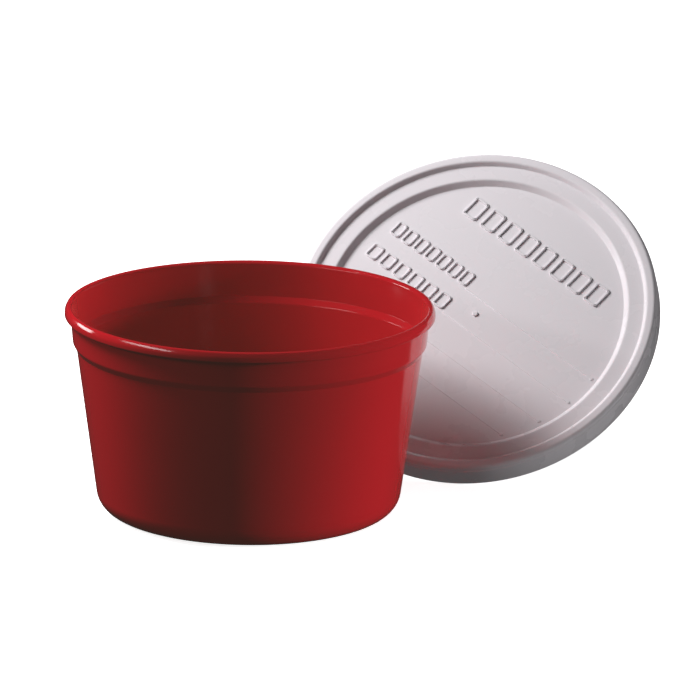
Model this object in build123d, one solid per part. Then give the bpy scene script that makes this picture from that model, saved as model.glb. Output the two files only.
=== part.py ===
from build123d import *
from math import atan2, cos, radians, sin, sqrt
import os

# A specimen container: a thin-walled round tub with a rolled rim, and the press-on lid
# that closes it, here taken off and stood on its skirt behind the tub.
# Millimetres. +Z is up, the tub's axis is Z, and its foot ring stands on Z = 0.
# Each moulding is one even wall: the middle line of its section, thickened both ways
# and revolved.

# --- Driving dimensions ----------------------------------------------------------------

# Tub
TUB_HEIGHT = 66.3
TUB_WALL = 0.9
RIM_RADIUS = 58.5           # outside of the rolled rim
RIM_DROP = 3.2              # height of the rim's outer lip
RIM_OVERHANG = 1.6          # the lip stands this far out of the collar below it
RIM_INNER_ROUND = 1.2       # rounding of the rim towards the mouth
RIM_FALL = 1.25             # height over which the rim slopes outwards, from its crest
RIM_OUTER_ROUND = 2.4       # rounding where that slope turns down into the lip
COLLAR_HEIGHT = 13.4        # from the top of the rim down to the stacking step
COLLAR_TAPER = 1.0          # the collar narrows this much on the way down
STEP_IN = 1.2               # the wall starts this far inside the collar
STEP_FALL = 2.0             # height over which it does
BODY_DRAFT = 7.2            # narrowing of the wall, from the step to the foot
HEEL_RADIUS = 7.0           # rounding where the wall turns into the foot ring
FOOT_WIDTH = 2.0            # flat ring that the tub stands on
FLOOR_LIFT = 1.4            # underside of the floor above the foot ring
BEND = 0.75                 # middle-line radius of the small bends

# Lid
LID_WALL = 0.7
RIM_CLEARANCE = 0.15        # between the rim and the channel that snaps over it
PLUG_CLEARANCE = 0.25       # between the tub's mouth and the lid's inner wall
SKIRT_DEPTH = 9.5           # from the top of the lid's rim to the skirt's edge
SHOULDER_ROUND = 1.2        # rounding of the lid's outer top edge
LEDGE_WIDTH = 0.3           # the skirt stands this far out of the shoulder
LEDGE_DEPTH = 1.45          # from the lid's rim down to the ledge between them
CHANNEL_DEPTH = 1.4         # from the lid's rim down to the band
CHANNEL_SLOPE = 1.0         # run of the channel's inner wall
BAND_WIDTH = 5.2            # flat band between the channel and the panel
PANEL_DEPTH = 1.7           # from the band down to the panel
PANEL_SLOPE = 1.6           # run of the slope that falls to the panel
SNAP_BEAD = 0.8             # height of the bead inside the skirt

# Ruled writing lines raised on the lid's panel, each with a dot at its right-hand end
RULE_COUNT = 4
RULE_PITCH = 11.1
RULE_FIRST = 5.1            # the first line lies this far above the panel's middle
RULE_WIDTH = 0.5
RULE_HEIGHT = 0.2
RULE_MARGIN = 2.1           # the lines stop this far inside the panel's edge
RULE_DOT = 0.6              # radius of the dots
LABELLED_RULES = 2          # the first lines start where their labels end
LABEL_END = -9.0            # to the right of the panel's middle
RELIEF_ROOT = 0.2           # raised detail starts this far down in the panel

# Moulding gates, in the middle of the lid's panel and under the tub's floor
GATE_RADIUS = 0.9
GATE_HEIGHT = 0.5

# Where the lid stands, tilted back with its skirt on the ground
LID_LEAN = 45.0             # its axis, above the ground
LID_ASIDE = 56.2            # middle of its top, to the side of the tub's axis
LID_STANDOFF = 0.9          # between the lid's edge and the tub's wall, where they come nearest
LID_TURN = -33.5            # its writing lines, turned from level

# --- Worked out from these -------------------------------------------------------------

TUB_HALF = TUB_WALL / 2
LID_HALF = LID_WALL / 2
LIP_RADIUS = RIM_RADIUS - TUB_HALF
COLLAR_RADIUS = RIM_RADIUS - RIM_OVERHANG - TUB_HALF
MOUTH_RADIUS = COLLAR_RADIUS - TUB_HALF
SHOULDER_RADIUS = RIM_RADIUS + RIM_CLEARANCE + LID_HALF
SKIRT_RADIUS = SHOULDER_RADIUS + LEDGE_WIDTH
PLUG_RADIUS = MOUTH_RADIUS - PLUG_CLEARANCE - LID_HALF
PANEL_RADIUS = PLUG_RADIUS - BAND_WIDTH - PANEL_SLOPE
PANEL_TOP = -CHANNEL_DEPTH - PANEL_DEPTH
SEAT_HEIGHT = TUB_HEIGHT + RIM_CLEARANCE + LID_WALL     # top of the lid when it is on
STEP_FOOT = TUB_HEIGHT - COLLAR_HEIGHT
WALL_TOP = COLLAR_RADIUS - COLLAR_TAPER - STEP_IN
WALL_FOOT = WALL_TOP - BODY_DRAFT

os.makedirs("parts", exist_ok=True)


# --- Shared tools ----------------------------------------------------------------------

def moulding(points, bends, wall):
    """Revolve an even wall whose section follows a middle line, from the axis outwards.

    The line is thickened by half a wall each way, with round ends, and what lies past
    the axis is cut off.
    """
    line = FilletPolyline(*points, radius=bends)
    section = make_face(offset(line, amount=wall / 2, side=Side.BOTH).edges())
    reach = 2 * max(abs(value) for point in points for value in point)
    outside = Pos(reach / 2, 0) * Rectangle(reach, 2 * reach)
    return revolve(Plane.XZ * (section & outside), Axis.Z)


def gate_pip(surface, height):
    """The rounded stub that a moulding gate leaves, standing up from a surface."""
    pip = Pos(0, 0, surface) * Cylinder(GATE_RADIUS, 2 * height)
    return fillet(pip.edges().group_by(Axis.Z)[-1], height / 2)


# --- Tub -------------------------------------------------------------------------------

def tub():
    """Floor, foot ring, tapered wall, stacking step, collar and rolled-over rim."""
    foot = WALL_FOOT - HEEL_RADIUS - FOOT_WIDTH
    floor = FLOOR_LIFT + TUB_HALF
    rim_top = TUB_HEIGHT - TUB_HALF
    inner_bend = RIM_INNER_ROUND - TUB_HALF
    crest = 0.3 * (RIM_OVERHANG - inner_bend)
    points = [
        (0, floor),
        (foot - FLOOR_LIFT, floor),
        (foot, TUB_HALF),
        (WALL_FOOT, TUB_HALF),
        (WALL_TOP, STEP_FOOT),
        (COLLAR_RADIUS - COLLAR_TAPER, STEP_FOOT + STEP_FALL),
        (COLLAR_RADIUS, rim_top),
        (COLLAR_RADIUS + inner_bend + crest, rim_top),
        (LIP_RADIUS, rim_top - RIM_FALL),
        (LIP_RADIUS, TUB_HEIGHT - RIM_DROP + TUB_HALF),
    ]
    bends = [
        BEND,
        BEND,
        HEEL_RADIUS - TUB_HALF,
        BEND,
        BEND,
        inner_bend,
        1.4 * crest,
        RIM_OUTER_ROUND - TUB_HALF,
    ]
    gate = Rot(180, 0, 0) * gate_pip(-FLOOR_LIFT, GATE_HEIGHT)
    return moulding(points, bends, TUB_WALL) + gate


# --- Lid, with its axis on Z and the top of its rim at Z = 0 ----------------------------

def lid_shell():
    """Recessed panel, band, rim channel, round shoulder and, past a ledge, the skirt."""
    rim = -LID_HALF
    band = rim - CHANNEL_DEPTH
    panel = band - PANEL_DEPTH
    ledge = rim - LEDGE_DEPTH
    ledge_bend = 1.6 * LEDGE_WIDTH
    points = [
        (0, panel),
        (PANEL_RADIUS, panel),
        (PANEL_RADIUS + PANEL_SLOPE, band),
        (PLUG_RADIUS, band),
        (PLUG_RADIUS + CHANNEL_SLOPE, rim),
        (SHOULDER_RADIUS, rim),
        (SHOULDER_RADIUS, ledge + LEDGE_WIDTH / 2),
        (SKIRT_RADIUS, ledge - LEDGE_WIDTH / 2),
        (SKIRT_RADIUS, LID_HALF - SKIRT_DEPTH),
    ]
    bends = [BEND, BEND, BEND, BEND, SHOULDER_ROUND - LID_HALF, ledge_bend, ledge_bend]
    return moulding(points, bends, LID_WALL)


def snap_bead():
    """The bead inside the skirt that catches under the tub's lip."""
    depth = LID_WALL + RIM_DROP + 2 * RIM_CLEARANCE + SNAP_BEAD
    section = Pos(SKIRT_RADIUS - LID_HALF, -depth) * Circle(SNAP_BEAD)
    return revolve(Plane.XZ * section, Axis.Z)


def ruled_lines():
    """Raised writing lines that end in dots on one circle, inside the panel's edge."""
    reach = PANEL_RADIUS - RULE_MARGIN
    plane = Plane.XY.offset(PANEL_TOP - RELIEF_ROOT)
    lines = []
    for row in range(RULE_COUNT):
        up = RULE_FIRST - row * RULE_PITCH
        end = sqrt(reach**2 - up**2)
        start = LABEL_END if row < LABELLED_RULES else -end
        stroke = Pos((start + end) / 2, up) * SlotOverall(end - start, RULE_WIDTH)
        dot = Pos(end, up) * Circle(RULE_DOT)
        lines += [extrude(plane * (stroke + dot), RELIEF_ROOT + RULE_HEIGHT)]
    return lines


def lid():
    """The lid as it is moulded, before it is put anywhere."""
    return lid_shell() + [snap_bead(), gate_pip(PANEL_TOP, GATE_HEIGHT), *ruled_lines()]


def standing_height():
    """Height of the middle of the lid's top, with the low side of its skirt on the ground."""
    lean = radians(LID_LEAN)
    edge_depth = SKIRT_DEPTH - LID_HALF
    return edge_depth * sin(lean) + SKIRT_RADIUS * cos(lean) + LID_HALF


def standing_back(height):
    """How far behind the tub's axis the lid stands, for its edge to clear the tub's wall.

    The middle of the edge's rounding is a circle. Each of its points has to stay outside
    the wall's cone by the rounding and the standoff, and the nearest point decides.
    """
    lean = radians(LID_LEAN)
    rise = STEP_FOOT - TUB_HALF
    draft = atan2(BODY_DRAFT, rise)
    apart = (TUB_HALF + LID_STANDOFF + SHOULDER_ROUND) / cos(draft)
    ring = SHOULDER_RADIUS + LID_HALF - SHOULDER_ROUND
    places = []
    for angle in range(360):
        across = LID_ASIDE + ring * cos(radians(angle))
        along = ring * sin(radians(angle))
        level = height - SHOULDER_ROUND * sin(lean) + along * cos(lean)
        reach = WALL_FOOT + BODY_DRAFT * (level - TUB_HALF) / rise + apart
        if abs(across) < reach:
            forward = SHOULDER_ROUND * cos(lean) + along * sin(lean)
            places.append(sqrt(reach**2 - across**2) - forward)
    return max(places)


def stood_up(shape):
    """Tilt the lid back and stand the low side of its skirt on the ground."""
    height = standing_height()
    place = Pos(LID_ASIDE, standing_back(height), height) * Rot(90 - LID_LEAN, 0, 0)
    return place * Rot(0, 0, LID_TURN) * shape


# --- Sub-parts -------------------------------------------------------------------------

SUBPARTS = {
    "tub": tub(),
    "lid": stood_up(lid()),
}

for name, shape in SUBPARTS.items():
    export_step(shape, f"parts/{name}.step")
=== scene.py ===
"""A specimen container: a deep-red plastic tub, and its white press-on lid leaning behind it.

Each moulding is drawn as the outline of its wall, spun about its axis into one closed shell,
and finished with the raised detail that the mould leaves. Sizes are in millimetres, and the
finished meshes are in metres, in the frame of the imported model.
"""

import logging
import math
from dataclasses import dataclass
from enum import Enum
from typing import NamedTuple, Sequence

import bpy
from mathutils import Matrix, Vector


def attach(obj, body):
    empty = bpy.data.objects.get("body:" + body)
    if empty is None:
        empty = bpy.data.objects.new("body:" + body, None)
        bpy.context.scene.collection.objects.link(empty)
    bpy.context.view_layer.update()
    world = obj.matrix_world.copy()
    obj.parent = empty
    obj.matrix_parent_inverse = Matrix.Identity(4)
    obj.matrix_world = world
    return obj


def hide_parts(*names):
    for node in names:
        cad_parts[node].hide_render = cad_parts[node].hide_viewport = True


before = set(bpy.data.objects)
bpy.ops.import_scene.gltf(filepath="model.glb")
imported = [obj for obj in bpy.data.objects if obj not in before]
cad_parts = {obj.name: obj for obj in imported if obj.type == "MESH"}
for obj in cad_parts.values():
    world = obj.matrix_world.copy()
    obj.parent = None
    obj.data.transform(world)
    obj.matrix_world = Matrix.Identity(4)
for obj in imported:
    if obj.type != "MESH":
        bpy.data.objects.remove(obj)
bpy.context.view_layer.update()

MM = 0.001
MERGE_WITHIN = 0.001 * MM
SAME_LEVEL_WITHIN = 0.01 * MM
SPIN_STEPS = 240
ARC_STEP = math.radians(9)
SMOOTH_BELOW = math.radians(38)

log = logging.getLogger("container")


# --- Modelling steps ---------------------------------------------------------------------------


def deselect_all() -> None:
    """Leave edit mode and select nothing."""
    if bpy.context.object is not None and bpy.context.object.mode != "OBJECT":
        bpy.ops.object.mode_set(mode="OBJECT")
    bpy.ops.object.select_all(action="DESELECT")


def select_only(piece: bpy.types.Object) -> None:
    """Make one object the selected and active one.

    Args:
        piece: The object.
    """
    deselect_all()
    piece.select_set(True)
    bpy.context.view_layer.objects.active = piece


def apply_modifier(piece: bpy.types.Object, modifier: bpy.types.Modifier) -> None:
    """Apply a modifier to the mesh of its object."""
    select_only(piece)
    bpy.ops.object.modifier_apply(modifier=modifier.name)


def smooth(piece: bpy.types.Object) -> None:
    """Smooth the shading except across corners."""
    select_only(piece)
    bpy.ops.object.shade_smooth_by_angle(angle=SMOOTH_BELOW)


def unmark(mesh: bpy.types.Mesh) -> None:
    """Clear the selection of a mesh, so that only what is marked next is selected."""
    for item in (*mesh.vertices, *mesh.edges, *mesh.polygons):
        item.select = False


def joined(pieces: Sequence[bpy.types.Object], name: str) -> bpy.types.Object:
    """Join several objects into one.

    Args:
        pieces: The objects, of which the first one stays.
        name: The joined object's name.

    Returns:
        The joined object.
    """
    deselect_all()
    for piece in pieces:
        piece.select_set(True)
    bpy.context.view_layer.objects.active = pieces[0]
    bpy.ops.object.join()
    pieces[0].name = name
    return pieces[0]


def fuse(body: bpy.types.Object, relief: bpy.types.Object) -> None:
    """Unite a body with raised detail that sinks into it, and remove the separate detail.

    Args:
        body: The object that stays.
        relief: The detail, a closed shape or several.
    """
    union = body.modifiers.new("union", "BOOLEAN")
    union.operation = "UNION"
    union.solver = "EXACT"
    union.object = relief
    apply_modifier(body, union)
    bpy.data.objects.remove(relief, do_unlink=True)


# --- The section of a moulding -----------------------------------------------------------------


class Corner(NamedTuple):
    """A corner of a wall's middle line, and the radius of the line's bend there."""

    radius: float
    height: float
    bend: float = 0.0


class Face(Enum):
    """The two faces of a wall whose middle line runs outwards from the axis."""

    INSIDE = 1
    OUTSIDE = -1


class Station(NamedTuple):
    """A point of a middle line, and the way the line runs there."""

    place: Vector
    ahead: Vector


def aside(direction: Vector) -> Vector:
    """The direction turned a quarter turn to its left."""
    return Vector((-direction.y, direction.x))


def arc(middle: Vector, start: Vector, turn: float) -> list[Vector]:
    """Points along an arc, its start left out.

    Args:
        middle: The arc's centre.
        start: Where the arc starts.
        turn: The angle it covers, anticlockwise if above zero.

    Returns:
        The points, the last one at the arc's end.
    """
    count = max(2, math.ceil(abs(turn) / ARC_STEP))
    arm = start - middle
    return [middle + Matrix.Rotation(turn * (i + 1) / count, 2) @ arm for i in range(count)]


@dataclass(frozen=True)
class Wall:
    """An even wall that follows a middle line outwards from the axis, with a round edge.

    Attributes:
        corners: The middle line's corners, the first one on the axis.
        thickness: The wall's thickness.
        hold: A long run gets one more station this far from each end.
        least_run: The length past which a run is long.
    """

    corners: tuple[Corner, ...]
    thickness: float
    hold: float = 0.35
    least_run: float = 1.0

    def stations(self) -> list[Station]:
        """Walk the middle line and round its bends.

        Returns:
            The line's stations. Long runs get one more near each end, to keep them flat.
        """
        places = [Vector((corner.radius, corner.height)) for corner in self.corners]
        found: list[Station] = []
        start = places[0]
        for index in range(1, len(places)):
            ahead = (places[index] - places[index - 1]).normalized()
            turn = reach = 0.0
            if index + 1 < len(places):
                onward = (places[index + 1] - places[index]).normalized()
                turn = math.atan2(ahead.x * onward.y - ahead.y * onward.x, ahead.dot(onward))
                reach = self.corners[index].bend * math.tan(abs(turn) / 2)
            end = places[index] - ahead * reach
            found += self.run(start, end, ahead)
            if turn:
                side = math.copysign(1, turn)
                middle = end + aside(ahead) * side * self.corners[index].bend
                points = arc(middle, end, turn)
                for step, point in enumerate(points[:-1]):
                    bent = Matrix.Rotation(turn * (step + 1) / len(points), 2) @ ahead
                    found.append(Station(point, bent))
                start = points[-1]
        return found

    def run(self, start: Vector, end: Vector, ahead: Vector) -> list[Station]:
        """The stations of one straight run of the middle line.

        Args:
            start: Where the run starts.
            end: Where it ends.
            ahead: The way it goes.

        Returns:
            Its two ends and, on a long run, a station near each.
        """
        length = (end - start).length
        marks = [0.0, length]
        if length > self.least_run:
            marks = [0.0, self.hold, length - self.hold, length]
        return [Station(start + ahead * mark, ahead) for mark in marks]

    def face(self, side: Face) -> list[Vector]:
        """The points of one face of the wall, from the axis outwards."""
        shift = side.value * self.thickness / 2
        return [station.place + aside(station.ahead) * shift for station in self.stations()]

    def edge(self) -> list[Vector]:
        """The points that round the wall's outer edge, between its two faces.

        Returns:
            The points, from the inside face to the outside one, both left out.
        """
        last = self.stations()[-1]
        start = last.place + aside(last.ahead) * self.thickness / 2
        return arc(last.place, start, -math.pi)[:-1]


def gate_pip(radius: float, height: float, level: float, side: Face) -> list[Vector]:
    """The outline of the stub that a moulding gate leaves, from the axis outwards.

    Args:
        radius: The stub's radius.
        height: How far it stands out of its face.
        level: The height of that face.
        side: The face that it stands on.

    Returns:
        The points, from the middle of the stub's end to the foot of its side.
    """
    up = side.value
    middle = Vector((radius - height / 2, level + up * height / 2))
    start = middle + Vector((0, up * height / 2))
    rounding = arc(middle, start, -up * math.pi / 2)
    return [Vector((0, level + up * height)), start, *rounding, Vector((radius, level))]


def spun(name: str, outline: Sequence[Vector]) -> bpy.types.Object:
    """Draw an outline point by point, and spin it about Z into a closed shell.

    Args:
        name: The new object's name.
        outline: Radius and height of each point, from the axis round the wall and back to it.

    Returns:
        The shell, with its faces outwards.
    """
    deselect_all()
    bpy.ops.mesh.primitive_plane_add(size=MM, location=(0, 0, 0))
    shell = bpy.context.object
    shell.name = name
    bpy.ops.object.mode_set(mode="EDIT")
    bpy.ops.mesh.select_all(action="SELECT")
    bpy.ops.mesh.merge(type="CENTER")
    bpy.ops.transform.translate(value=(outline[0].x * MM, 0, outline[0].y * MM))
    for before, after in zip(outline, outline[1:]):
        step = (after - before) * MM
        bpy.ops.mesh.extrude_region_move(TRANSFORM_OT_translate={"value": (step.x, 0, step.y)})
    bpy.ops.mesh.select_all(action="SELECT")
    bpy.ops.mesh.spin(steps=SPIN_STEPS, angle=2 * math.pi, center=(0, 0, 0), axis=(0, 0, 1))
    bpy.ops.mesh.select_all(action="SELECT")
    bpy.ops.mesh.remove_doubles(threshold=MERGE_WITHIN)
    bpy.ops.mesh.normals_make_consistent(inside=False)
    bpy.ops.object.mode_set(mode="OBJECT")
    return shell


# --- Finishes ----------------------------------------------------------------------------------


@dataclass(frozen=True)
class MouldedPlastic:
    """A thin moulded plastic, with the soft unevenness that a mould leaves.

    Attributes:
        name: The material's name.
        colour: The plastic's own colour.
        deep_colour: The colour where the plastic is a little thicker.
        cloud_scale: How many clouds of colour there are in a metre.
        gloss: The lowest and highest roughness.
        ripple: Depth of the broad waves in the skin, in metres.
        ripple_scale: How many of those waves there are in a metre.
        grain: Depth of the fine grain, in metres.
        grain_scale: How many grains there are in a metre.
        painted_reflection_glow: Painted reflection: an even glow, set as emission whatever falls
            on the plastic, that stands in for the faint haze of the surroundings mirrored in it.
        bend_of_light: The plastic's index of refraction.
        cloud_edge: The values of the noise between which the colour changes.
        gloss_edge: The values of the noise between which the roughness changes.
        gloss_fineness: How much finer the patches of gloss are than the waves.
    """

    name: str
    colour: tuple[float, float, float]
    deep_colour: tuple[float, float, float]
    cloud_scale: float
    gloss: tuple[float, float]
    ripple: float
    ripple_scale: float
    grain: float
    grain_scale: float
    painted_reflection_glow: tuple[float, float, float] = (0.0, 0.0, 0.0)
    bend_of_light: float = 1.49
    cloud_edge: tuple[float, float] = (0.35, 0.65)
    gloss_edge: tuple[float, float] = (0.3, 0.7)
    gloss_fineness: float = 2.3

    @staticmethod
    def noise(
        tree: bpy.types.NodeTree, places: bpy.types.Node, scale: float, detail: float
    ) -> bpy.types.NodeSocket:
        """Add a noise that is fixed to the piece.

        Args:
            tree: The material's node tree.
            places: The node that gives the piece's own coordinates.
            scale: How many of its forms there are in a metre.
            detail: How many finer layers it has.

        Returns:
            The socket of its value.
        """
        made = tree.nodes.new("ShaderNodeTexNoise")
        made.inputs["Scale"].default_value = scale
        made.inputs["Detail"].default_value = detail
        tree.links.new(places.outputs["Object"], made.inputs["Vector"])
        return made.outputs["Fac"]

    @staticmethod
    def bump(
        tree: bpy.types.NodeTree, height: bpy.types.NodeSocket, depth: float
    ) -> bpy.types.Node:
        """Turn a noise into relief of a given depth, in metres.

        Args:
            tree: The material's node tree.
            height: The noise.
            depth: Depth of the relief, in metres.

        Returns:
            The node, whose Normal output carries the relief.
        """
        made = tree.nodes.new("ShaderNodeBump")
        made.inputs["Strength"].default_value = 1.0
        made.inputs["Distance"].default_value = depth
        tree.links.new(height, made.inputs["Height"])
        return made

    def material(self) -> bpy.types.Material:
        """Build the node tree.

        Returns:
            The finished material, which reads Object coordinates only.
        """
        made = bpy.data.materials.new(self.name)
        made.use_nodes = True
        tree = made.node_tree
        nodes, links = tree.nodes, tree.links
        nodes.clear()
        output = nodes.new("ShaderNodeOutputMaterial")
        shader = nodes.new("ShaderNodeBsdfPrincipled")
        places = nodes.new("ShaderNodeTexCoord")
        shader.inputs["IOR"].default_value = self.bend_of_light
        # Painted reflection: an even emitted glow stands in for the haze of the surroundings
        # mirrored in the plastic.
        shader.inputs["Emission Color"].default_value = (*self.painted_reflection_glow, 1)
        shader.inputs["Emission Strength"].default_value = 1.0 if any(self.painted_reflection_glow) else 0.0

        tint = nodes.new("ShaderNodeValToRGB")
        thick, thin = tint.color_ramp.elements
        thick.position, thin.position = self.cloud_edge
        thick.color = (*self.deep_colour, 1)
        thin.color = (*self.colour, 1)
        clouds = self.noise(tree, places, self.cloud_scale, detail=3.0)
        links.new(clouds, tint.inputs["Fac"])
        links.new(tint.outputs["Color"], shader.inputs["Base Color"])

        gloss = nodes.new("ShaderNodeMapRange")
        gloss.inputs["From Min"].default_value = self.gloss_edge[0]
        gloss.inputs["From Max"].default_value = self.gloss_edge[1]
        gloss.inputs["To Min"].default_value = self.gloss[0]
        gloss.inputs["To Max"].default_value = self.gloss[1]
        patches = self.noise(tree, places, self.ripple_scale * self.gloss_fineness, detail=4.0)
        links.new(patches, gloss.inputs["Value"])
        links.new(gloss.outputs["Result"], shader.inputs["Roughness"])

        waves = self.noise(tree, places, self.ripple_scale, detail=2.0)
        grains = self.noise(tree, places, self.grain_scale, detail=3.0)
        broad = self.bump(tree, waves, self.ripple)
        fine = self.bump(tree, grains, self.grain)
        links.new(broad.outputs["Normal"], fine.inputs["Normal"])
        links.new(fine.outputs["Normal"], shader.inputs["Normal"])
        links.new(shader.outputs["BSDF"], output.inputs["Surface"])
        return made


RED_PLASTIC = MouldedPlastic(
    name="tub_red_plastic",
    colour=(0.39, 0.0025, 0.0095),
    deep_colour=(0.37, 0.0025, 0.009),
    cloud_scale=18.0,
    gloss=(0.10, 0.14),
    ripple=0.00012,
    ripple_scale=26.0,
    grain=0.0000015,
    grain_scale=1500.0,
    # Painted reflection: this even glow stands in for the faint haze of the surroundings in the
    # red plastic's gloss.
    painted_reflection_glow=(0.002, 0.0125, 0.009),
)

WHITE_PLASTIC = MouldedPlastic(
    name="lid_white_plastic",
    colour=(0.81, 0.77, 0.805),
    deep_colour=(0.80, 0.76, 0.795),
    cloud_scale=14.0,
    gloss=(0.25, 0.29),
    ripple=0.00004,
    ripple_scale=30.0,
    grain=0.0000015,
    grain_scale=1300.0,
)


# --- Tub ---------------------------------------------------------------------------------------


@dataclass(frozen=True)
class Tub:
    """The round tapered tub, with its foot ring, stacking step, collar and rolled rim.

    The rim runs from the mouth over a flat crest, down a slope and round into the lip. Its
    crest takes crest_share of the width that the inner bend leaves, and crest_bend is the
    radius of the bend after it, as a share of the crest.
    """

    height: float = 66.3
    wall: float = 0.9
    rim_radius: float = 58.5
    rim_drop: float = 3.2
    rim_overhang: float = 1.6
    rim_inner_round: float = 1.2
    rim_fall: float = 1.25
    rim_outer_round: float = 2.4
    crest_share: float = 0.3
    crest_bend: float = 1.4
    collar_height: float = 13.4
    collar_taper: float = 1.0
    step_in: float = 1.2
    step_fall: float = 2.0
    body_draft: float = 7.2
    heel_radius: float = 7.0
    foot_width: float = 2.0
    floor_lift: float = 1.4
    bend: float = 0.75
    gate_radius: float = 0.9
    gate_height: float = 0.5
    name: str = "tub_shell"
    node: str = "tub"
    slot: str = "tub_plastic"

    def section(self) -> Wall:
        """The wall's middle line, from the middle of the floor to the rim's lip.

        Returns:
            The tub's wall.
        """
        half = self.wall / 2
        lip = self.rim_radius - half
        collar = self.rim_radius - self.rim_overhang - half
        wall_top = collar - self.collar_taper - self.step_in
        wall_foot = wall_top - self.body_draft
        foot = wall_foot - self.heel_radius - self.foot_width
        step = self.height - self.collar_height
        floor = self.floor_lift + half
        top = self.height - half
        inner_bend = self.rim_inner_round - half
        crest = self.crest_share * (self.rim_overhang - inner_bend)
        corners = (
            Corner(0, floor),
            Corner(foot - self.floor_lift, floor, self.bend),
            Corner(foot, half, self.bend),
            Corner(wall_foot, half, self.heel_radius - half),
            Corner(wall_top, step, self.bend),
            Corner(collar - self.collar_taper, step + self.step_fall, self.bend),
            Corner(collar, top, inner_bend),
            Corner(collar + inner_bend + crest, top, self.crest_bend * crest),
            Corner(lip, top - self.rim_fall, self.rim_outer_round - half),
            Corner(lip, self.height - self.rim_drop + half),
        )
        return Wall(corners, self.wall)

    def build(self) -> bpy.types.Object:
        """Model the tub.

        Returns:
            The tub's mesh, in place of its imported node.
        """
        section = self.section()
        pip = gate_pip(self.gate_radius, self.gate_height, self.floor_lift, Face.OUTSIDE)
        under = section.face(Face.OUTSIDE)[1:]
        outline = [*section.face(Face.INSIDE), *section.edge(), *reversed([*pip, *under])]
        shell = spun(self.name, outline)
        smooth(shell)
        shell.data.materials.append(RED_PLASTIC.material())
        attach(shell, "root")
        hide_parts(self.node)
        return shell


# --- Lid ---------------------------------------------------------------------------------------


@dataclass(frozen=True)
class CellRow:
    """A row of raised, empty cells, one for each letter of a label that someone may add.

    Attributes:
        count: How many cells there are.
        pitch: From one cell to the next, along the row.
        middle: The row's middle on the panel, along and up.
        size: Width and height of a cell.
        stroke: Width of a cell's raised border.
    """

    count: int
    pitch: float
    middle: tuple[float, float]
    size: tuple[float, float]
    stroke: float


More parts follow.
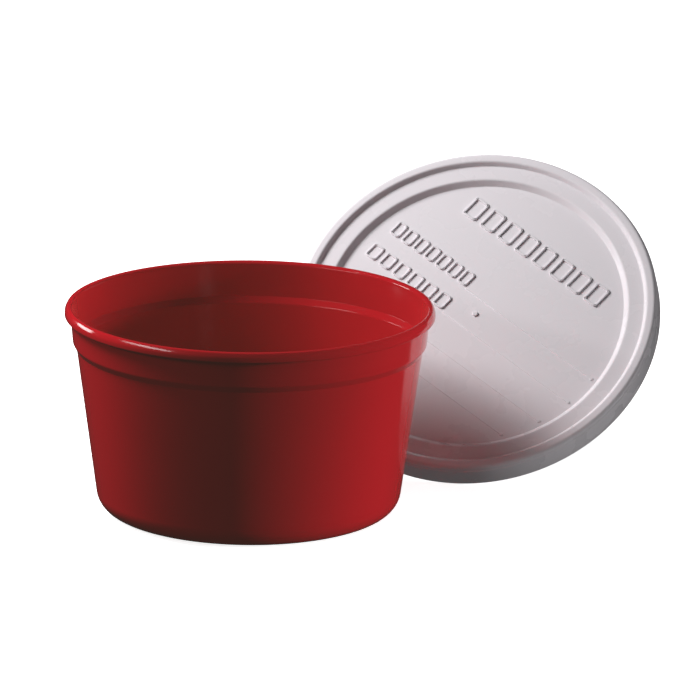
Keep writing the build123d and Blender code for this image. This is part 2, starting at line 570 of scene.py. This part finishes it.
@dataclass(frozen=True)
class Lid:
    """The press-on lid: recessed panel, band, rim channel, ledge and skirt with a snap bead.

    It is modelled with its axis on Z and the top of its rim at Z = 0. Then it is turned by
    turn, tilted back by lean and put with the middle of its top at place, where the low side
    of its skirt stands on the ground.
    """

    wall: float = 0.7
    rim_radius: float = 58.5
    rim_clearance: float = 0.15
    plug_clearance: float = 0.25
    skirt_depth: float = 9.5
    shoulder_round: float = 1.2
    ledge_width: float = 0.3
    ledge_depth: float = 1.45
    ledge_bend: float = 0.48
    channel_depth: float = 1.4
    channel_slope: float = 1.0
    band_width: float = 5.2
    panel_depth: float = 1.7
    panel_slope: float = 1.6
    mouth_radius: float = 56.0
    rim_drop: float = 3.2
    bend: float = 0.75
    snap_bead: float = 0.8
    rule_count: int = 4
    rule_pitch: float = 11.1
    rule_first: float = 5.1
    rule_width: float = 0.5
    rule_height: float = 0.2
    rule_round: float = 0.1
    rule_margin: float = 2.1
    rule_dot: float = 0.6
    labelled_rules: int = 2
    label_end: float = -9.0
    relief_root: float = 0.2
    cell_height: float = 0.5
    cell_round: float = 0.22
    cell_corner: float = 1.1
    line_end_sides: int = 20
    dot_sides: int = 24
    corner_steps: int = 5
    rounding_steps: int = 3
    gate_radius: float = 0.9
    gate_height: float = 0.5
    lean: float = math.radians(45.0)
    turn: float = math.radians(-33.5)
    place: tuple[float, float, float] = (56.2, 79.065, 48.7515)
    cells: tuple[CellRow, ...] = (
        CellRow(8, 7.6, (0.0, 29.6), (5.6, 7.8), 0.85),
        CellRow(7, 5.0, (-26.4, 8.2), (3.8, 5.6), 0.7),
        CellRow(6, 6.0, (-27.0, -2.9), (4.4, 5.6), 0.7),
    )
    name: str = "lid_shell"
    node: str = "lid"
    slot: str = "lid_plastic"

    @property
    def shoulder_radius(self) -> float:
        """Radius of the shoulder's middle line."""
        return self.rim_radius + self.rim_clearance + self.wall / 2

    @property
    def skirt_radius(self) -> float:
        """Radius of the skirt's middle line."""
        return self.shoulder_radius + self.ledge_width

    @property
    def panel_radius(self) -> float:
        """Radius of the panel."""
        plug = self.mouth_radius - self.plug_clearance - self.wall / 2
        return plug - self.band_width - self.panel_slope

    @property
    def panel_top(self) -> float:
        """Height of the panel's upper face, from the top of the lid's rim."""
        return -self.channel_depth - self.panel_depth

    def section(self) -> Wall:
        """The wall's middle line, from the middle of the panel to the skirt's edge.

        Returns:
            The lid's wall.
        """
        half = self.wall / 2
        rim = -half
        band = rim - self.channel_depth
        panel = band - self.panel_depth
        plug = self.panel_radius + self.panel_slope + self.band_width
        ledge = rim - self.ledge_depth
        corners = (
            Corner(0, panel),
            Corner(self.panel_radius, panel, self.bend),
            Corner(self.panel_radius + self.panel_slope, band, self.bend),
            Corner(plug, band, self.bend),
            Corner(plug + self.channel_slope, rim, self.bend),
            Corner(self.shoulder_radius, rim, self.shoulder_round - half),
            Corner(self.shoulder_radius, ledge + self.ledge_width / 2, self.ledge_bend),
            Corner(self.skirt_radius, ledge - self.ledge_width / 2, self.ledge_bend),
            Corner(self.skirt_radius, half - self.skirt_depth),
        )
        return Wall(corners, self.wall)

    def beaded(self, inner: Sequence[Vector]) -> list[Vector]:
        """Add the snap bead to the skirt's inner face.

        Args:
            inner: The wall's lower face, from the axis outwards.

        Returns:
            The same face with the bead's arc on its skirt.
        """
        depth = self.wall + self.rim_drop + 2 * self.rim_clearance + self.snap_bead
        across = self.skirt_radius - self.wall / 2
        middle = Vector((across, -depth))
        top = middle + Vector((0, self.snap_bead))
        above = [point for point in inner if point.x < across - 1 or point.y > top.y]
        below = [point for point in inner if point.x > across - 1 and point.y < -depth]
        return [*above, top, *arc(middle, top, math.pi), *below]

    def shell(self) -> bpy.types.Object:
        """Spin the lid's wall, with its gate stub and snap bead.

        Returns:
            The lid without its raised writing, lying level.
        """
        section = self.section()
        pip = gate_pip(self.gate_radius, self.gate_height, self.panel_top, Face.INSIDE)
        upper = [*pip, *section.face(Face.INSIDE)[1:]]
        under = self.beaded(section.face(Face.OUTSIDE))
        return spun(self.name, [*upper, *section.edge(), *reversed(under)])

    def raise_up(
        self, piece: bpy.types.Object, height: float, rounding: float
    ) -> bpy.types.Object:
        """Extrude a flat shape into raised detail, and round its top edges.

        Args:
            piece: A flat shape that lies a little way down in the panel.
            height: How far the detail stands out of the panel.
            rounding: Rounding of its top edges.

        Returns:
            The same object, now a closed shape.
        """
        rise = (self.relief_root + height) * MM
        select_only(piece)
        bpy.ops.object.mode_set(mode="EDIT")
        bpy.ops.mesh.select_all(action="SELECT")
        bpy.ops.mesh.extrude_region_move(TRANSFORM_OT_translate={"value": (0, 0, rise)})
        bpy.ops.mesh.select_all(action="SELECT")
        bpy.ops.mesh.normals_make_consistent(inside=False)
        bpy.ops.object.mode_set(mode="OBJECT")
        top = max(vertex.co.z for vertex in piece.data.vertices)
        rim = self.border_edges(piece, top)
        for edge in piece.data.edges:
            edge.select = edge.index in rim
        bpy.ops.object.mode_set(mode="EDIT")
        bpy.ops.mesh.select_mode(type="EDGE")
        bpy.ops.mesh.bevel(offset=rounding * MM, segments=self.rounding_steps, affect="EDGES")
        bpy.ops.mesh.select_mode(type="VERT")
        bpy.ops.object.mode_set(mode="OBJECT")
        return piece

    @staticmethod
    def border_edges(piece: bpy.types.Object, level: float) -> set[int]:
        """The edges at one level that lie between a flat face and an upright one.

        Args:
            piece: The object whose edges are looked through.
            level: Their height, in metres.

        Returns:
            The index of each such edge.
        """
        mesh = piece.data
        unmark(mesh)
        upright = set()
        for face in mesh.polygons:
            if abs(face.normal.z) < 0.5:
                upright.update(tuple(sorted(key)) for key in face.edge_keys)
        found = set()
        for edge in mesh.edges:
            heights = [mesh.vertices[v].co.z for v in edge.vertices]
            high = all(abs(height - level) < SAME_LEVEL_WITHIN for height in heights)
            if high and tuple(sorted(edge.vertices)) in upright:
                found.add(edge.index)
        return found

    def stroke(self, start: float, end: float, up: float) -> bpy.types.Object:
        """A raised line with round ends, along the panel.

        Args:
            start: Where it starts, along the panel.
            end: Where it ends.
            up: How far up the panel it lies.

        Returns:
            The line, a closed shape.
        """
        level = (self.panel_top - self.relief_root) * MM
        deselect_all()
        bpy.ops.mesh.primitive_circle_add(
            vertices=self.line_end_sides, radius=self.rule_width / 2 * MM, fill_type="NGON",
            location=(0, 0, 0),
        )
        piece = bpy.context.object
        half = ((end - start) - self.rule_width) / 2 * MM
        right = {v.index for v in piece.data.vertices if v.co.x > MERGE_WITHIN}
        left = {v.index for v in piece.data.vertices if v.co.x < -MERGE_WITHIN}
        self.shift(piece, right, (half, 0, 0))
        self.shift(piece, left, (-half, 0, 0))
        self.put(piece, ((start + end) / 2 * MM, up * MM, level))
        return self.raise_up(piece, self.rule_height, self.rule_round)

    @staticmethod
    def shift(
        piece: bpy.types.Object, moved: set[int], step: tuple[float, float, float]
    ) -> None:
        """Move some of a mesh's vertices.

        Args:
            piece: The mesh's object.
            moved: Index of each vertex that moves.
            step: How far they move.
        """
        select_only(piece)
        unmark(piece.data)
        for index in moved:
            piece.data.vertices[index].select = True
        bpy.ops.object.mode_set(mode="EDIT")
        bpy.ops.mesh.select_mode(type="VERT")
        bpy.ops.transform.translate(value=step)
        bpy.ops.object.mode_set(mode="OBJECT")

    @staticmethod
    def put(piece: bpy.types.Object, place: tuple[float, float, float]) -> None:
        """Move an object and keep its place in its mesh.

        Args:
            piece: The object.
            place: How far it moves, in metres.
        """
        select_only(piece)
        piece.location = place
        bpy.ops.object.transform_apply(location=True, rotation=True, scale=True)

    def dot(self, along: float, up: float) -> bpy.types.Object:
        """A raised dot on the panel.

        Args:
            along: Its place along the panel.
            up: Its place up the panel.

        Returns:
            The dot, a closed shape.
        """
        level = (self.panel_top - self.relief_root) * MM
        deselect_all()
        bpy.ops.mesh.primitive_circle_add(
            vertices=self.dot_sides, radius=self.rule_dot * MM, fill_type="NGON",
            location=(0, 0, 0),
        )
        piece = bpy.context.object
        self.put(piece, (along * MM, up * MM, level))
        return self.raise_up(piece, self.rule_height, self.rule_round)

    def cell(self, row: CellRow) -> bpy.types.Object:
        """One raised empty cell, with round corners, at the middle of the panel.

        Args:
            row: The row that it is for.

        Returns:
            The cell's border, a closed shape.
        """
        level = (self.panel_top - self.relief_root) * MM
        deselect_all()
        bpy.ops.mesh.primitive_plane_add(size=MM, location=(0, 0, level))
        piece = bpy.context.object
        piece.scale = (row.size[0], row.size[1], 1)
        bpy.ops.object.transform_apply(location=True, rotation=True, scale=True)
        bpy.ops.object.mode_set(mode="EDIT")
        bpy.ops.mesh.select_all(action="SELECT")
        bpy.ops.mesh.bevel(
            offset=self.cell_corner * MM, segments=self.corner_steps, affect="VERTICES"
        )
        bpy.ops.mesh.select_all(action="SELECT")
        bpy.ops.mesh.inset(thickness=row.stroke * MM)
        bpy.ops.mesh.delete(type="FACE")
        bpy.ops.object.mode_set(mode="OBJECT")
        return self.raise_up(piece, self.cell_height, self.cell_round)

    def cell_row(self, row: CellRow) -> list[bpy.types.Object]:
        """Copy one cell along its row.

        Args:
            row: The row to fill.

        Returns:
            The cells, each with a mesh of its own.
        """
        first = self.cell(row)
        made = []
        for index in range(row.count):
            copy = first.copy()
            copy.data = first.data.copy()
            bpy.context.scene.collection.objects.link(copy)
            along = row.middle[0] + (index - (row.count - 1) / 2) * row.pitch
            self.put(copy, (along * MM, row.middle[1] * MM, 0))
            made.append(copy)
        bpy.data.objects.remove(first, do_unlink=True)
        return made

    def relief(self) -> bpy.types.Object:
        """Everything raised on the panel: writing lines, their dots and the label cells.

        Returns:
            All of it as one object.
        """
        reach = self.panel_radius - self.rule_margin
        lines, dots = [], []
        for row in range(self.rule_count):
            up = self.rule_first - row * self.rule_pitch
            end = math.sqrt(reach**2 - up**2)
            start = self.label_end if row < self.labelled_rules else -end
            lines.append(self.stroke(start, end, up))
            dots.append(self.dot(end, up))
        spots = joined(dots, "rule_dots")
        strokes = joined(lines, "rule_lines")
        fuse(strokes, spots)
        cells = [cell for row in self.cells for cell in self.cell_row(row)]
        return joined([strokes, *cells], "lid_relief")

    def stand_up(self, piece: bpy.types.Object) -> None:
        """Turn the lid's writing, tilt the lid back and stand it on its skirt.

        Args:
            piece: The lid, lying level at the origin.
        """
        select_only(piece)
        tilt = Matrix.Rotation(math.pi / 2 - self.lean, 4, "X")
        turned = Matrix.Rotation(self.turn, 4, "Z")
        piece.matrix_world = Matrix.Translation(Vector(self.place) * MM) @ tilt @ turned
        bpy.ops.object.transform_apply(location=True, rotation=True, scale=True)

    def build(self) -> bpy.types.Object:
        """Model the lid.

        Returns:
            The lid's mesh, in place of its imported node.
        """
        shell = self.shell()
        fuse(shell, self.relief())
        self.stand_up(shell)
        smooth(shell)
        shell.data.materials.append(WHITE_PLASTIC.material())
        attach(shell, "root")
        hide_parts(self.node)
        return shell


# --- Studio ------------------------------------------------------------------------------------


@dataclass(frozen=True)
class SoftBox:
    """A rectangular studio light.

    Attributes:
        name: The light's name.
        bearing: Where it stands round its aim, in degrees to the right of the camera.
        rise: How high it stands, in degrees above its aim.
        away: Its distance, in metres.
        width: Its width, in metres.
        height: Its height, in metres.
        power: Its power, in watts.
        spread: How widely its light fans out, in degrees. A grid in front narrows it.
        shines: Whether it shows as a highlight in glossy surfaces.
        aim: The point that it faces.
    """

    name: str
    bearing: float
    rise: float
    away: float
    width: float
    height: float
    power: float
    spread: float = 180.0
    shines: bool = True
    aim: tuple[float, float, float] = (0.03, 0.03, 0.03)

    def hang(self, front: float) -> None:
        """Put the light in the scene.

        Args:
            front: The camera's own bearing, in degrees.
        """
        lamp = bpy.data.lights.new(self.name, "AREA")
        lamp.shape = "RECTANGLE"
        lamp.size = self.width
        lamp.size_y = self.height
        lamp.energy = self.power
        lamp.spread = math.radians(self.spread)
        turn, rise = math.radians(self.bearing + front), math.radians(self.rise)
        level = Vector((math.sin(turn), -math.cos(turn), 0)) * math.cos(rise)
        back = level + Vector((0, 0, math.sin(rise)))
        holder = bpy.data.objects.new(self.name, lamp)
        holder.location = Vector(self.aim) + back * self.away
        holder.rotation_euler = (-back).to_track_quat("-Z", "Y").to_euler()
        holder.visible_glossy = self.shines
        bpy.context.scene.collection.objects.link(holder)


@dataclass(frozen=True)
class Studio:
    """Floor, surroundings, lights and camera.

    Attributes:
        camera_place: Where the camera stands, in metres.
        heading: Its turn from +Y towards +X, in radians.
        pitch: How far it looks down, in radians.
        roll: Its turn about its own line of sight, in radians.
        lens: Its focal length, in millimetres.
        sensor: The width of its sensor, in millimetres.
        clip: The nearest and farthest that it sees, in metres.
        front: Its bearing round the container, in degrees, from which the lights are placed.
        ambience: Strength of the even light from all round.
        mirrored: Strength of the surroundings in glossy surfaces.
        floor_radius: Radius of the floor, in metres.
        floor_drop: How far under the foot ring the floor lies, in millimetres.
        floor_tone: Grey of the floor's paper.
        floor_roughness: Roughness of the floor's paper.
        floor_glow: Strength of the floor's own light, which keeps it pale.
        boxes: The studio lights.
    """

    camera_place: tuple[float, float, float] = (0.5356, -2.3200, 0.6921)
    heading: float = -0.2136
    pitch: float = 0.2626
    roll: float = 0.0119
    lens: float = 401.6
    sensor: float = 36.0
    clip: tuple[float, float] = (0.1, 30.0)
    front: float = 13.0
    ambience: float = 0.10
    mirrored: float = 0.015
    floor_radius: float = 6.0
    floor_drop: float = 0.05
    floor_tone: float = 0.9
    floor_roughness: float = 0.9
    floor_glow: float = 0.86
    boxes: tuple[SoftBox, ...] = (
        SoftBox("left_high", -101.0, 45.0, 0.55, 0.24, 0.18, 4.1, shines=False),
        SoftBox("left_strip", -66.0, 26.3, 0.50, 0.26, 0.035, 0.24),
        SoftBox("left_low", -117.0, 12.5, 0.66, 0.20, 0.09, 0.50),
        SoftBox(
            "right_grid", 83.0, 8.0, 0.90, 0.09, 0.22, 0.074,
            spread=9.0, shines=False, aim=(0.0, -0.02, 0.035),
        ),
        SoftBox(
            "skirt_grid", 97.0, 3.0, 0.60, 0.06, 0.10, 0.009,
            spread=22.0, shines=False, aim=(0.105, 0.10, 0.05),
        ),
        SoftBox("back_low", 165.0, 15.0, 0.80, 0.30, 0.24, 1.8, shines=False),
    )

    def lay_floor(self) -> None:
        """Lay a wide pale floor just under everything."""
        deselect_all()
        bpy.ops.mesh.primitive_circle_add(
            vertices=96, radius=self.floor_radius, fill_type="NGON", location=(0, 0, 0)
        )
        floor = bpy.context.object
        floor.name = "studio_floor"
        bpy.ops.transform.translate(value=(0, 0, -self.floor_drop * MM))
        bpy.ops.object.transform_apply(location=True, rotation=True, scale=True)
        paper = bpy.data.materials.new("pale_floor")
        paper.use_nodes = True
        nodes = paper.node_tree.nodes
        shader = nodes["Principled BSDF"]
        shader.inputs["Base Color"].default_value = (*[self.floor_tone] * 3, 1)
        shader.inputs["Roughness"].default_value = self.floor_roughness
        shader.inputs["Emission Color"].default_value = (1, 1, 1, 1)
        shader.inputs["Emission Strength"].default_value = self.floor_glow
        floor.data.materials.append(paper)
        floor.visible_diffuse = False
        floor.visible_glossy = False

    def light(self) -> None:
        """Hang the lights and set the surroundings."""
        for box in self.boxes:
            box.hang(self.front)
        world = bpy.data.worlds.new("studio")
        bpy.context.scene.world = world
        world.use_nodes = True
        nodes, links = world.node_tree.nodes, world.node_tree.links
        nodes.clear()
        output = nodes.new("ShaderNodeOutputWorld")
        path = nodes.new("ShaderNodeLightPath")
        layers = {"felt": self.ambience, "mirrored": self.mirrored, "seen": 1.0}
        for name, strength in layers.items():
            layer = nodes.new("ShaderNodeBackground")
            layer.name = name
            layer.inputs["Color"].default_value = (1, 1, 1, 1)
            layer.inputs["Strength"].default_value = strength
        below = nodes["felt"]
        for ray, name in (("Is Glossy Ray", "mirrored"), ("Is Camera Ray", "seen")):
            mix = nodes.new("ShaderNodeMixShader")
            links.new(path.outputs[ray], mix.inputs["Fac"])
            links.new(below.outputs[0], mix.inputs[1])
            links.new(nodes[name].outputs[0], mix.inputs[2])
            below = mix
        links.new(below.outputs[0], output.inputs["Surface"])
        bpy.context.scene.view_settings.view_transform = "Standard"

    def point_camera(self) -> None:
        """Put the camera where it looks down on the open tub with the lid behind it."""
        lens = bpy.data.cameras.new("camera")
        lens.lens = self.lens
        lens.sensor_width = self.sensor
        lens.clip_start, lens.clip_end = self.clip
        camera = bpy.data.objects.new("camera", lens)
        bpy.context.scene.collection.objects.link(camera)
        across = Vector((math.cos(self.heading), -math.sin(self.heading), 0))
        level = Vector((math.sin(self.heading), math.cos(self.heading), 0))
        ahead = level * math.cos(self.pitch) - Vector((0, 0, 1)) * math.sin(self.pitch)
        up = across.cross(ahead)
        right = across * math.cos(self.roll) + up * math.sin(self.roll)
        high = up * math.cos(self.roll) - across * math.sin(self.roll)
        turned = Matrix((right, high, -ahead)).transposed().to_4x4()
        camera.matrix_world = Matrix.Translation(self.camera_place) @ turned
        bpy.context.scene.camera = camera

    def build(self) -> None:
        """Set the studio up."""
        self.lay_floor()
        self.light()
        self.point_camera()


# --- Making ------------------------------------------------------------------------------------


def main() -> None:
    """Build the pieces in order and report each one."""
    logging.basicConfig(level=logging.INFO, format="%(name)s: %(message)s")
    for part in (Tub(), Lid()):
        piece = part.build()
        faces = len(piece.data.polygons)
        log.info("%s stands for %s, with %d faces", piece.name, part.node, faces)
    Studio().build()
    log.info("studio is set up")


if __name__ == "__main__":
    main()
